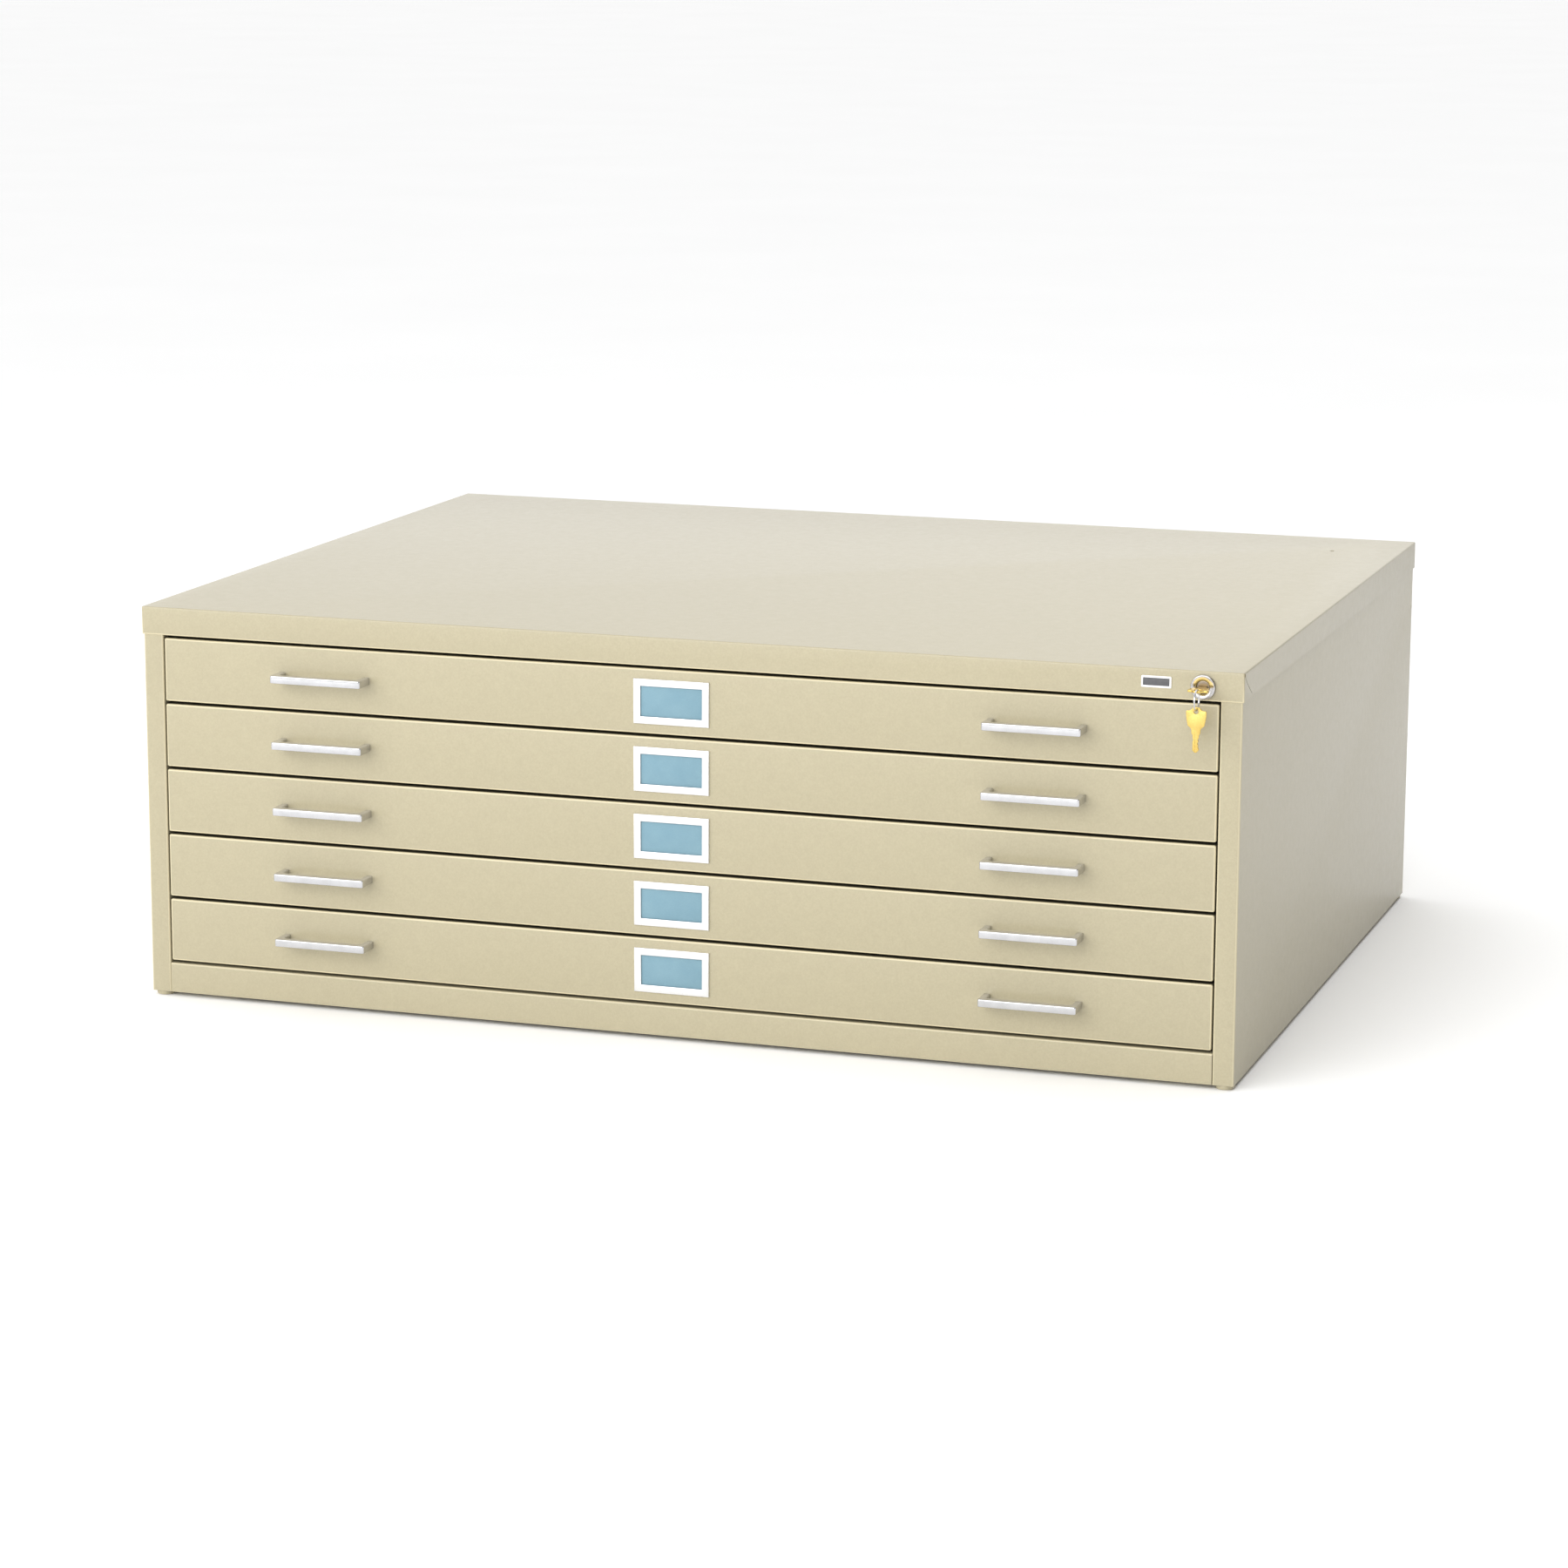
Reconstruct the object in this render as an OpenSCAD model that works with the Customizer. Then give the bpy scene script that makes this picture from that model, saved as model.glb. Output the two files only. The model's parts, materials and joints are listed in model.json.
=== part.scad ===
// Five-drawer steel flat file for large sheets, with a gang lock and its keys.
// Millimetres, +Z up. The origin is on the floor, under the middle of the whole
// object, pulls and keys included. The drawers open towards -Y.

/* [Part] */
// Which piece to show

/* [Case] */
// Overall width, across the cap
case_w = 1177.9; // [1000:0.1:1400]
// Depth of the cap, front fold to back fold
case_d = 898.5; // [750:0.1:1100]
// Height from the floor to the top
case_h = 419.1; // [415:0.1:440]
// Thickness of the folded steel sheet
sheet = 1.2; // [0.8:0.1:2]
// How far the cap stands proud of the sides
cap_step = 1.5; // [1.3:0.1:3]
// Depth of the cap's front fold, which carries the lock
header_h = 29.6; // [26:0.1:40]
// Depth of the cap's other folds
cap_fold = 30.3; // [20:0.1:40]
// Half the width of the opening between the front posts
opening_half = 565.6; // [450:0.1:580]
// Width of the inward flange along the bottom of each side
base_flange_w = 95; // [85:1:140]
// Height of the rail under the bottom drawer, floor to top edge
rail_top = 36.4; // [30:0.1:60]

/* [Feet and bolt holes] */
// Height of a foot
foot_h = 4.8; // [3:0.1:12]
// Diameter of a foot
foot_d = 19; // [15:0.5:40]
// Distance of a foot's centre in from the cap's edges
foot_inset = 12.1; // [11:0.1:60]
// Left-right distance between the bolt holes
bolt_x = 1024; // [1010:1:1040]
// Front-back distance between the bolt holes
bolt_y = 697.4; // [600:0.1:780]
// Diameter of a bolt hole
bolt_hole_d = 9; // [6:0.5:12]
// Diameter of the hole at the right rear of the top, mm
top_hole_d = 5; // [3:0.5:8]

/* [Drawers] */
// Height of a drawer front
front_h = 66.8; // [60:0.1:68]
// Distance from one drawer to the next
pitch = 70; // [70:0.1:72]
// Gap between the cap's front fold and the top drawer
top_gap = 3.2; // [1:0.1:4]
// Side gap beside a drawer front
side_gap = 1.6; // [1:0.1:4]
// Depth of the folded drawer front
front_t = 14; // [10:1:18]
// Clear width inside a drawer
inner_w = 1092; // [900:1:1096]
// Clear length inside a drawer
inner_d = 813; // [600:1:820]
// Clear height inside a drawer
inner_h = 52.8; // [40:0.1:54]
// Length of the hood over the back of a drawer
hood_d = 64; // [40:1:120]
// Length of the hinged flap that holds sheets down
flap_len = 96; // [60:1:110]

/* [Runners] */
// Radius of a runner roller
roller_r = 9; // [7:0.5:9.5]
// Radius of a roller's axle
axle_r = 3; // [2:0.1:4]
// Air between a roller and the track it rolls on
roll_gap = 0.3; // [0.3:0.05:0.5]

/* [Pulls and labels] */
// Overall length of a pull
pull_len = 101.5; // [80:0.5:140]
// Height of a pull's bar
pull_h = 8; // [6:0.5:12]
// How far a pull stands out from the drawer front
pull_out = 26; // [20:0.5:32]
// Distance of a pull's middle from the drawer's middle
pull_x = 381; // [250:1:450]
// How far the pulls sit above the middle of the drawer front
pull_rise = 1.7; // [0:0.1:5]
// Width of a label holder
holder_w = 81; // [60:0.5:120]
// Height of a label holder
holder_h = 46.3; // [30:0.1:55]
// Width of the holder's frame
holder_border = 7.6; // [4:0.1:10]

/* [Lock] */
// Lock's distance from the middle of the case
lock_x = 548.3; // [500:0.1:560]
// Height of the lock's middle above the floor
lock_z = 403.3; // [400:0.1:408]
// Radius of the lock's collar
collar_r = 12.4; // [11:0.1:14]
// Upward travel of the lock bar
bar_lift = 12; // [10:0.5:14]
// Mean radius of the split ring
ring_r = 10.3; // [8:0.1:12]
// Radius of the ring's wire
wire_r = 0.9; // [0.6:0.05:1.2]
// Middle of the badge, from the middle of the case
badge_x = 501.5; // [450:0.5:510]

/* [Hidden] */
$fn = 64;
drawer_count = 5;
paint = [0.84, 0.80, 0.68];
paint_top = [0.87, 0.85, 0.80];
paint_side = [0.75, 0.72, 0.65];
zinc = [0.72, 0.73, 0.74];
chrome = [0.93, 0.93, 0.94];
brass = [0.86, 0.70, 0.36];
steel = [0.62, 0.63, 0.64];
nylon = [0.92, 0.91, 0.86];
card_blue = [0.60, 0.75, 0.83];

// The hanging ring reaches furthest forward, and the origin is midway to the back.
ring_y_out = 28;
reach = ring_y_out + ring_r + wire_r;
face_y = -(case_d - reach) / 2;
back_y = face_y + case_d;
mid_y = face_y + case_d / 2;

body_x = case_w / 2 - cap_step;
body_front = face_y + cap_step;
body_back = back_y - cap_step;
body_top = case_h - sheet;
inside_x = body_x - sheet;
flange_x = body_x - base_flange_w;
bore_fit = 0.05;

front_w = 2 * (opening_half - side_gap);
tray_y = body_front + front_t;
tray_x = inner_w / 2 + sheet;
tray_len = inner_d + 2 * sheet;
floor_rise = 4;
floor_top = floor_rise + sheet;
rim = floor_top + inner_h;
rail_out = 562;

axle_z = rim - sheet - roll_gap - roller_r;
track_z = axle_z - roller_r - roll_gap;
track_y = face_y + 28;
track_len = body_back - 10 - track_y;
track_x = opening_half + 0.4;
front_axle_y = face_y + 60;
rear_axle_y = tray_y + 786;
front_lane = [551, 561];
rear_lane = [567, 581];
head_r = 5;

flap_t = 1;
flap_pin_r = 2;
flap_pin_y = tray_y + sheet + 5;
flap_pin_z = rim - 4;
flap_bead_r = 1.5;
flap_angle = asin((flap_pin_z - floor_top - flap_bead_r - 0.4) / flap_len);

screw_r = 2.2;
leg_w = 7;
leg_c = (pull_len - leg_w) / 2;

bar_y = face_y + 21;
bar_t = 2;
bar_in = 569;
bar_out = 582;
hook_in = 553;
hook_rise = 9;
hook_h = 10;
cam_y = face_y + 18.2;
pin_r = 1.5;
pin_throw = bar_lift / (2 * sin(45));
pin_dx = pin_throw * cos(45);
pin_dz = -pin_throw * sin(45);

bow_t = 2;
// Half the outline of a key's bow and neck, from the middle of its eye.
bow_half = [[2.6, 4.5], [4.1, 3.9], [5.2, 2], [6.8, 1.2], [8.8, 0.9], [10, 0], [10.1, -1.8],
            [9.9, -5], [9.3, -8.6], [8.5, -12], [7.6, -14.2], [5.6, -16], [4.6, -17.4],
            [4.3, -21], [3.3, -22.8]];
bow_y = face_y - 24.6;
bow_hole_y = face_y - 22.9;
bow_hole_r = 4.1;
ring_z = lock_z + bow_t / 2 + 0.3 - (ring_r - wire_r);
hang_hole_r = 2.2;
hang_z = ring_z - ring_r - (hang_hole_r - wire_r - 0.3);

function drawer_z(n) = case_h - header_h - top_gap - front_h - (n - 1) * pitch;
function front_mid(n) = drawer_z(n) + front_h / 2;

each_drawer = ["tray", "front", "pulls", "label_holder", "label_card", "hood",
               "depressor", "rear_rollers", "front_rollers"];
case_nodes = ["top_cap", "left_side", "right_side", "back_panel", "bottom_rail",
              "feet", "runners", "badge", "lock_housing", "lock_plug", "lock_cam",
              "lock_bar", "inserted_key", "key_ring", "hanging_key"];

// ---- helpers ----

// A box given by its two corners.
module block(lo, hi) {
    translate(lo) cube(hi - lo);
}

// A round bar along X from x0 to x1, at [y, z].
module bar_x(x0, x1, y, z, r) {
    translate([x0, y, z]) rotate([0, 90, 0]) cylinder(h = x1 - x0, r = r);
}

// A round bar along Y from y0 to y1, at [x, z].
module bar_along_y(x, z, y0, y1, r) {
    translate([x, y0, z]) rotate([-90, 0, 0]) cylinder(h = y1 - y0, r = r);
}

module both_sides() {
    children();
    mirror([1, 0, 0]) children();
}

// A rectangle centred on the origin with round corners.
module round_rect(w, h, r) {
    square([w - 2 * r, h], center = true);
    square([w, h - 2 * r], center = true);
    for (x = [-1, 1]) for (y = [-1, 1])
        translate([x * (w / 2 - r), y * (h / 2 - r)]) circle(r = r);
}

// A flat profile drawn in X and Z, given thickness t from y0 towards +Y.
module upright(y0, t) {
    translate([0, y0 + t, 0]) rotate([90, 0, 0]) linear_extrude(height = t) children();
}

// ---- case ----

// The open joint where the cap's front fold is returned onto the side fold.
module cap_mitre() {
    corner = [face_y + 2.4, case_h - 2.6];
    finish = [face_y + 34, case_h - 25];
    slit = [1.4, 0];
    translate([body_x + 0.1, 0, 0]) rotate([90, 0, 90]) linear_extrude(height = 5) {
        polygon([corner, finish, finish - slit, corner - slit]);
        translate(corner) circle(r = 1.7);
    }
}

module top_cap() {
    color(paint_top) difference() {
        union() {
            block([-case_w / 2, face_y, body_top], [case_w / 2, back_y, case_h]);
            block([-case_w / 2, face_y, case_h - header_h],
                  [case_w / 2, face_y + sheet, case_h]);
            block([-opening_half + 0.4, face_y, case_h - header_h],
                  [opening_half - 0.4, face_y + 12, case_h - header_h + sheet]);
            block([-case_w / 2, back_y - sheet, case_h - cap_fold],
                  [case_w / 2, back_y, case_h]);
            both_sides() block([case_w / 2 - sheet, face_y, case_h - cap_fold],
                               [case_w / 2, back_y, case_h]);
        }
        both_sides() cap_mitre();
        bar_along_y(lock_x, lock_z, face_y - 1, face_y + 5, 9.6);
        translate([bolt_x / 2, mid_y + bolt_y / 2, body_top - 1])
            cylinder(h = 5, r = top_hole_d / 2);
    }
}

module side_panel() {
    difference() {
        union() {
            block([inside_x, body_front, foot_h], [body_x, body_back, body_top]);
            block([flange_x, body_front, foot_h], [body_x, body_back, foot_h + sheet]);
            block([opening_half, body_front, body_top - sheet],
                  [body_x, body_back, body_top]);
            block([opening_half, body_front, foot_h],
                  [body_x, body_front + sheet, body_top]);
            block([opening_half, body_front, rail_top - 3],
                  [opening_half + sheet, body_front + 14.5, body_top]);
            block([opening_half, body_back - sheet, foot_h],
                  [body_x, body_back, body_top]);
        }
        for (y = [-1, 1])
            translate([bolt_x / 2, mid_y + y * bolt_y / 2, foot_h - 1])
                cylinder(h = sheet + 2, r = bolt_hole_d / 2);
        translate([inside_x - 1, back_y - 6, case_h - 75]) rotate([0, 90, 0])
            cylinder(h = 4, r = 2);
        block([flange_x - 1, body_front - 1, foot_h - 1],
              [opening_half, body_front + 2, foot_h + sheet + 1]);
    }
}

// A pressed lug on the side that keeps the lock bar upright.
module bar_guide(z) {
    difference() {
        block([bar_out - 3, bar_y - 1.8, z], [inside_x, bar_y + bar_t + 1.8, z + 14]);
        block([bar_out - 5, bar_y - 0.4, z - 1], [bar_out + 0.4, bar_y + bar_t + 0.4, z + 15]);
    }
}

module left_side() {
    color(paint_side) mirror([1, 0, 0]) side_panel();
}

module right_side() {
    color(paint_side) {
        side_panel();
        for (n = [2, 5]) bar_guide(drawer_z(n) + hook_rise - 22);
    }
}

module back_panel() {
    y = body_back - sheet;
    color(paint_side) {
        block([-inside_x, y - sheet, foot_h + sheet], [inside_x, y, body_top - sheet]);
        block([-opening_half + 0.3, y - 20, body_top - sheet],
              [opening_half - 0.3, y, body_top]);
        block([-flange_x + 0.3, y - 25, foot_h], [flange_x - 0.3, y, foot_h + sheet]);
    }
}

module bottom_rail() {
    edge = opening_half - 0.4;
    color(paint) {
        block([-edge, body_front, foot_h], [edge, body_front + sheet, rail_top]);
        block([-edge, body_front, rail_top - sheet], [edge, body_front + 13, rail_top]);
        block([-edge, body_front, foot_h + sheet],
              [edge, body_front + 13, foot_h + 2 * sheet]);
    }
}

module foot() {
    r = foot_d / 2;
    soft = 1.6;
    rotate_extrude() {
        translate([0, soft]) square([r, foot_h - soft]);
        square([r - soft, soft + 0.1]);
        translate([r - soft, soft]) circle(r = soft);
    }
}

module feet() {
    x = case_w / 2 - foot_inset;
    color(paint_side)
        for (sx = [-1, 1]) for (sy = [-1, 1])
            translate([sx * x, mid_y + sy * (case_d / 2 - foot_inset), 0]) foot();
}

// One track channel with the axle of its front roller, on the right-hand side.
module runner(n) {
    z = drawer_z(n);
    web = inside_x - sheet;
    block([web, track_y, z + track_z - sheet], [inside_x, track_y + track_len, z + rim + sheet]);
    block([track_x, track_y, z + track_z - sheet], [inside_x, track_y + track_len, z + track_z]);
    block([track_x, track_y, z + rim], [inside_x, track_y + track_len, z + rim + sheet]);
    axle = [front_axle_y, z + axle_z];
    bar_x(front_lane[0] - 0.6, web + 0.1, axle[0], axle[1], axle_r);
    bar_x(front_lane[0] - 1.9, front_lane[0] - 0.3, axle[0], axle[1], head_r);
    bar_x(front_lane[1] + 0.3, front_lane[1] + 2, axle[0], axle[1], head_r);
}

module runners() {
    color(zinc) for (n = [1:drawer_count]) both_sides() runner(n);
}

// ---- drawers ----

// A nylon roller with a bore, its axis along X, filling a lane.
module roller(lane, y, z) {
    w = lane[1] - lane[0];
    soft = 0.8;
    translate([lane[0], y, z]) rotate([0, 90, 0]) rotate_extrude()
        polygon([[axle_r + bore_fit, 0], [roller_r - soft, 0], [roller_r, soft],
                 [roller_r, w - soft], [roller_r - soft, w], [axle_r + bore_fit, w]]);
}

module front_rollers(n) {
    color(nylon) both_sides() roller(front_lane, front_axle_y, drawer_z(n) + axle_z);
}

module rear_rollers(n) {
    color(nylon) both_sides() roller(rear_lane, rear_axle_y, drawer_z(n) + axle_z);
}

module tray_side(z) {
    block([inner_w / 2, tray_y, z + floor_rise], [tray_x, tray_y + tray_len, z + rim]);
    block([inner_w / 2, tray_y, z + rim - sheet], [rail_out, tray_y + tray_len, z + rim]);
    bar_x(tray_x - 0.1, rear_lane[1] + 0.5, rear_axle_y, z + axle_z, axle_r);
    bar_x(rear_lane[0] - 2, rear_lane[0] - 0.3, rear_axle_y, z + axle_z, head_r);
    bar_x(rear_lane[1] + 0.3, rear_lane[1] + 1.9, rear_axle_y, z + axle_z, head_r);
}

module drawer_tray(n) {
    z = drawer_z(n);
    color(paint) difference() {
        union() {
            block([-tray_x, tray_y, z + floor_rise], [tray_x, tray_y + tray_len, z + floor_top]);
            for (y = [tray_y, tray_y + tray_len - sheet])
                block([-tray_x, y, z + floor_rise], [tray_x, y + sheet, z + rim]);
            both_sides() tray_side(z);
            // the tab that the lock bar's hook catches
            block([tray_x - 0.1, bar_y + bar_t + 1, z + hook_rise + bar_lift + 1],
                  [rail_out, bar_y + bar_t + 2.6, z + hook_rise + bar_lift + 11]);
        }
        bar_x(-tray_x - 1, tray_x + 1, flap_pin_y, z + flap_pin_z, flap_pin_r + bore_fit);
    }
}

module screw_holes(n, r) {
    for (sx = [-1, 1]) for (leg = [-1, 1])
        bar_along_y(sx * pull_x + leg * leg_c, front_mid(n) + pull_rise,
                    body_front - 9, body_front + sheet + 1, r);
}

module drawer_front(n) {
    z = drawer_z(n);
    x = front_w / 2;
    y = body_front;
    color(paint) difference() {
        block([-x, y, z], [x, y + front_t, z + front_h]);
        block([-x + sheet, y + sheet, z + sheet], [x - sheet, y + front_t + 1, z + front_h - sheet]);
        screw_holes(n, screw_r + 0.1);
    }
}

// Plan of a pull, its legs towards +Y, its back on the X axis.
module pull_plan() {
    gap = pull_len - 2 * leg_w;
    inside = pull_out - pull_h;
    soft = 5;
    difference() {
        union() {
            translate([0, -pull_out / 2]) round_rect(pull_len, pull_out, 2);
            translate([-pull_len / 2, -6]) square([pull_len, 6]);
        }
        translate([0, -inside / 2]) round_rect(gap, inside, soft);
        translate([-gap / 2, -inside + soft]) square([gap, inside]);
    }
}

module drawer_pulls(n) {
    z = front_mid(n) + pull_rise;
    color(chrome) {
        difference() {
            for (sx = [-1, 1])
                translate([sx * pull_x, body_front, z - pull_h / 2])
                    linear_extrude(height = pull_h) pull_plan();
            screw_holes(n, screw_r + 0.1);
        }
        for (sx = [-1, 1]) for (leg = [-1, 1]) {
            x = sx * pull_x + leg * leg_c;
            bar_along_y(x, z, body_front - 8, body_front + sheet + 0.5, screw_r);
            bar_along_y(x, z, body_front + sheet, body_front + sheet + 2.4, 2 * screw_r);
        }
    }
}

module label_holder(n) {
    rim_t = 1.6;
    y = body_front - 2.2;
    color(chrome) translate([0, 0, front_mid(n)]) {
        upright(y, 0.9) difference() {
            round_rect(holder_w, holder_h, 2);
            square([holder_w - 2 * holder_border, holder_h - 2 * holder_border], center = true);
        }
        // folded back on three sides, open at the top for the card
        for (sx = [-1, 1])
            block([sx * (holder_w / 2 - rim_t / 2) - rim_t / 2, y, -holder_h / 2 + 2],
                  [sx * (holder_w / 2 - rim_t / 2) + rim_t / 2, body_front, holder_h / 2 - 2]);
        block([-holder_w / 2 + 2, y, -holder_h / 2], [holder_w / 2 - 2, body_front, -holder_h / 2 + rim_t]);
    }
}

module label_card(n) {
    w = holder_w - 5;
    h = holder_h - 5;
    color(card_blue) translate([0, 0, front_mid(n)])
        block([-w / 2, body_front - 0.5, -h / 2], [w / 2, body_front, h / 2]);
}

module drawer_hood(n) {
    z = drawer_z(n) + rim;
    back = tray_y + tray_len;
    color(paint) {
        block([-rail_out + 2, back - hood_d, z], [rail_out - 2, back, z + sheet]);
        block([-rail_out + 2, back - hood_d, z], [rail_out - 2, back - hood_d + sheet, z + 5]);
    }
}

module depressor(n) {
    x = inner_w / 2 - 5;
    color(paint) translate([0, flap_pin_y, drawer_z(n) + flap_pin_z]) {
        bar_x(-tray_x - 1.4, tray_x + 1.4, 0, 0, flap_pin_r);
        rotate([-flap_angle, 0, 0]) {
            block([-x, 0, -flap_t / 2], [x, flap_len, flap_t / 2]);
            bar_x(-x, x, flap_len, 0, flap_bead_r);
        }
    }
}

// ---- lock, keys and badge ----

module lock_housing() {
    barrel_r = 9.5;
    plug_r = 6.5;
    lip = 3.6;
    color(chrome) translate([lock_x, face_y, lock_z]) rotate([90, 0, 0]) rotate_extrude() {
        polygon([[plug_r, -17.9], [barrel_r, -17.9], [barrel_r, 0], [collar_r, 0],
                 [collar_r, lip - 1.4], [collar_r - 1.4, lip], [collar_r - 2.6, lip],
                 [plug_r + 1.2, 1.8], [plug_r, 1.8]]);
    }
}

module lock_plug() {
    color(steel) translate([lock_x, 0, lock_z]) difference() {
        bar_along_y(0, 0, face_y - 1.5, cam_y, 6.45);
        block([-3.6, face_y - 2, -1.15], [3.6, face_y + 15, 1.15]);
    }
}

module lock_cam() {
    color(steel) translate([lock_x, 0, lock_z]) {
        upright(cam_y, 2) {
            circle(r = 6);
            rotate(-45) translate([0, -3]) square([pin_throw, 6]);
            translate([pin_dx, pin_dz]) circle(r = 3.5);
        }
        bar_along_y(pin_dx, pin_dz, cam_y + 1.9, cam_y + 6, pin_r);
    }
}

module lock_bar() {
    arm_z = lock_z + pin_dz;
    slot_in = lock_x + pin_dx - pin_r - 0.6;
    slot_out = lock_x + pin_throw + pin_r + 0.6;
    half_slot = pin_r + 0.5;
    color(steel) upright(bar_y, bar_t) difference() {
        union() {
            translate([bar_in, 28]) square([bar_out - bar_in, arm_z + 6 - 28]);
            translate([slot_in - 4, arm_z - 6]) square([bar_out - slot_in + 4, 12]);
            for (n = [1:drawer_count])
                translate([hook_in, drawer_z(n) + hook_rise])
                    square([bar_in - hook_in + 1, hook_h]);
        }
        translate([slot_in, arm_z - half_slot]) square([slot_out - slot_in, 2 * half_slot]);
    }
}

// A polygon from its right half, mirrored about x = 0.
module mirrored(half) {
    n = len(half);
    polygon(concat(half, [for (i = [1:n]) [-half[n - i][0], half[n - i][1]]]));
}

module inserted_key() {
    color(brass) translate([lock_x, 0, lock_z]) {
        difference() {
            translate([0, bow_y, -bow_t / 2]) rotate([0, 0, 180])
                linear_extrude(height = bow_t) mirrored(bow_half);
            translate([0, bow_hole_y, -bow_t]) cylinder(h = 2 * bow_t, r = bow_hole_r);
        }
        block([-3.2, face_y - 3.4, -0.95], [3.2, face_y + 14, 0.95]);
    }
}

module key_ring() {
    color(chrome) translate([lock_x, face_y - ring_y_out, ring_z]) rotate([0, 90, 0])
        rotate_extrude() translate([ring_r, 0]) circle(r = wire_r);
}

module hanging_key() {
    blade = [[3.1, -24.6], [3.1, -38.2], [0.9, -40.2]];
    color(brass) translate([lock_x, 0, hang_z])
        upright(face_y - ring_y_out - bow_t / 2, bow_t) difference() {
            mirrored(concat(bow_half, blade));
            circle(r = hang_hole_r);
        }
}

module badge() {
    w = 30;
    h = 11.5;
    color(chrome) translate([badge_x, 0, lock_z + 2.5]) {
        upright(face_y - 0.6, 0.6) round_rect(w, h, 0.8);
        upright(face_y - 1, 0.5) difference() {
            round_rect(w, h, 0.8);
            square([w - 3, h - 3.6], center = true);
        }
    }
}

// ---- nodes ----

top_cap();
left_side();
right_side();
back_panel();
bottom_rail();
feet();
runners();
badge();
lock_housing();
lock_plug();
lock_cam();
lock_bar();
inserted_key();
key_ring();
hanging_key();
for (n = [1:drawer_count]) {
    drawer_tray(n);
    drawer_front(n);
    drawer_pulls(n);
    label_holder(n);
    label_card(n);
    drawer_hood(n);
    depressor(n);
    rear_rollers(n);
    front_rollers(n);
}
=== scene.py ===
import json
import math

import bmesh
import bpy
from mathutils import Matrix, Vector


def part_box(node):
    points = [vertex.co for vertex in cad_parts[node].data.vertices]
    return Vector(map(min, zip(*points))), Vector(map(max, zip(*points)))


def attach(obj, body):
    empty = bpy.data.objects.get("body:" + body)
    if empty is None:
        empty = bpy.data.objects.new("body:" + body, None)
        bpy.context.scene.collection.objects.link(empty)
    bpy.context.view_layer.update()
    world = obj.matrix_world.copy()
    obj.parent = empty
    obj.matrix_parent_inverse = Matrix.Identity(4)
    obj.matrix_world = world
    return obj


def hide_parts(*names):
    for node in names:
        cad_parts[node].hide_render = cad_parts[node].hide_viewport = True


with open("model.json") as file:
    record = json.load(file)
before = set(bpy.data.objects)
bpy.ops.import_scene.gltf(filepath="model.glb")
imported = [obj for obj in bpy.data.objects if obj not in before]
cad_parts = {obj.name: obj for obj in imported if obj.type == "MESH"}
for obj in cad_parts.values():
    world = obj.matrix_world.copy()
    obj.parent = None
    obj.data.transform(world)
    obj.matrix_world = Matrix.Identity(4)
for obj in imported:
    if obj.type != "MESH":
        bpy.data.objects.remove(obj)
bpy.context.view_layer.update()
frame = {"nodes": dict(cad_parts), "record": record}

MM = 0.001
DRAWERS = range(1, 6)

# A five-drawer flat file with its front towards -Y. Lengths are in millimetres unless a comment says so.


# ---------------------------------------------------------------- sizes

def mm_box(node):
    """The lowest and highest corner of a CAD node."""
    lo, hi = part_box(node)
    return lo * 1000, hi * 1000


def middle(lo, hi):
    return Vector([(a + b) / 2 for a, b in zip(lo, hi)])


cap_lo, cap_hi = mm_box("top_cap")
side_lo, side_hi = mm_box("right_side")
rail_lo, rail_hi = mm_box("bottom_rail")
lock_lo, lock_hi = mm_box("lock_housing")

FACE = cap_lo.y                               # front of the cap
FRONT, BACK = side_lo.y, side_hi.y            # of the posts; the rail and the drawers are flush with them
MID_Y = (cap_lo.y + cap_hi.y) / 2
PLAY = 0.4                                    # between the rail and a post
HALF_OPEN = rail_hi.x + PLAY                  # half the opening between the posts
LOCK_X, LOCK_Z = (lock_lo.x + lock_hi.x) / 2, (lock_lo.z + lock_hi.z) / 2

SHEET = 1.2                                   # the steel
HEADER = 29.6                                 # the cap's front fold
SIDE_BEND, CAP_BEND, PAN_BEND = 1.8, 1.7, 1.9     # outer radii of the folds
BOLT_X, BOLT_Y = 512, 348.7                   # bolt holes, from the cabinet's middle


# ---------------------------------------------------------------- mesh helpers

def link(o):
    bpy.context.scene.collection.objects.link(o)
    return o


def smooth(mesh, angle):
    """Smooth shading, except across edges sharper than angle, in degrees."""
    for face in mesh.polygons:
        face.use_smooth = True
    mesh.set_sharp_from_angle(angle=math.radians(angle))


def take_mesh(name, bm, scale=MM):
    """The bmesh as a mesh in metres. The bmesh is used up."""
    mesh = bpy.data.meshes.new(name)
    bm.to_mesh(mesh)
    bm.free()
    mesh.transform(Matrix.Scale(scale, 4))
    return mesh


def solid(name, bm, angle=35):
    """A linked object from a bmesh, smooth except across edges sharper than angle."""
    bmesh.ops.remove_doubles(bm, verts=bm.verts, dist=0.0005)
    bmesh.ops.recalc_face_normals(bm, faces=bm.faces)
    mesh = take_mesh(name, bm)
    smooth(mesh, angle)
    return link(bpy.data.objects.new(name, mesh))


def put(o, body, material, slot, *nodes):
    """Paints o, lets it ride on body, and shows it in place of the CAD nodes."""
    o.data.materials.clear()
    o.data.materials.append(material)
    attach(o, body)
    if nodes:
        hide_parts(*nodes)
    return o


def apply_modifiers(o):
    depsgraph = bpy.context.evaluated_depsgraph_get()
    mesh = bpy.data.meshes.new_from_object(o.evaluated_get(depsgraph))
    o.modifiers.clear()
    old, o.data = o.data, mesh
    bpy.data.meshes.remove(old)
    return o


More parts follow.
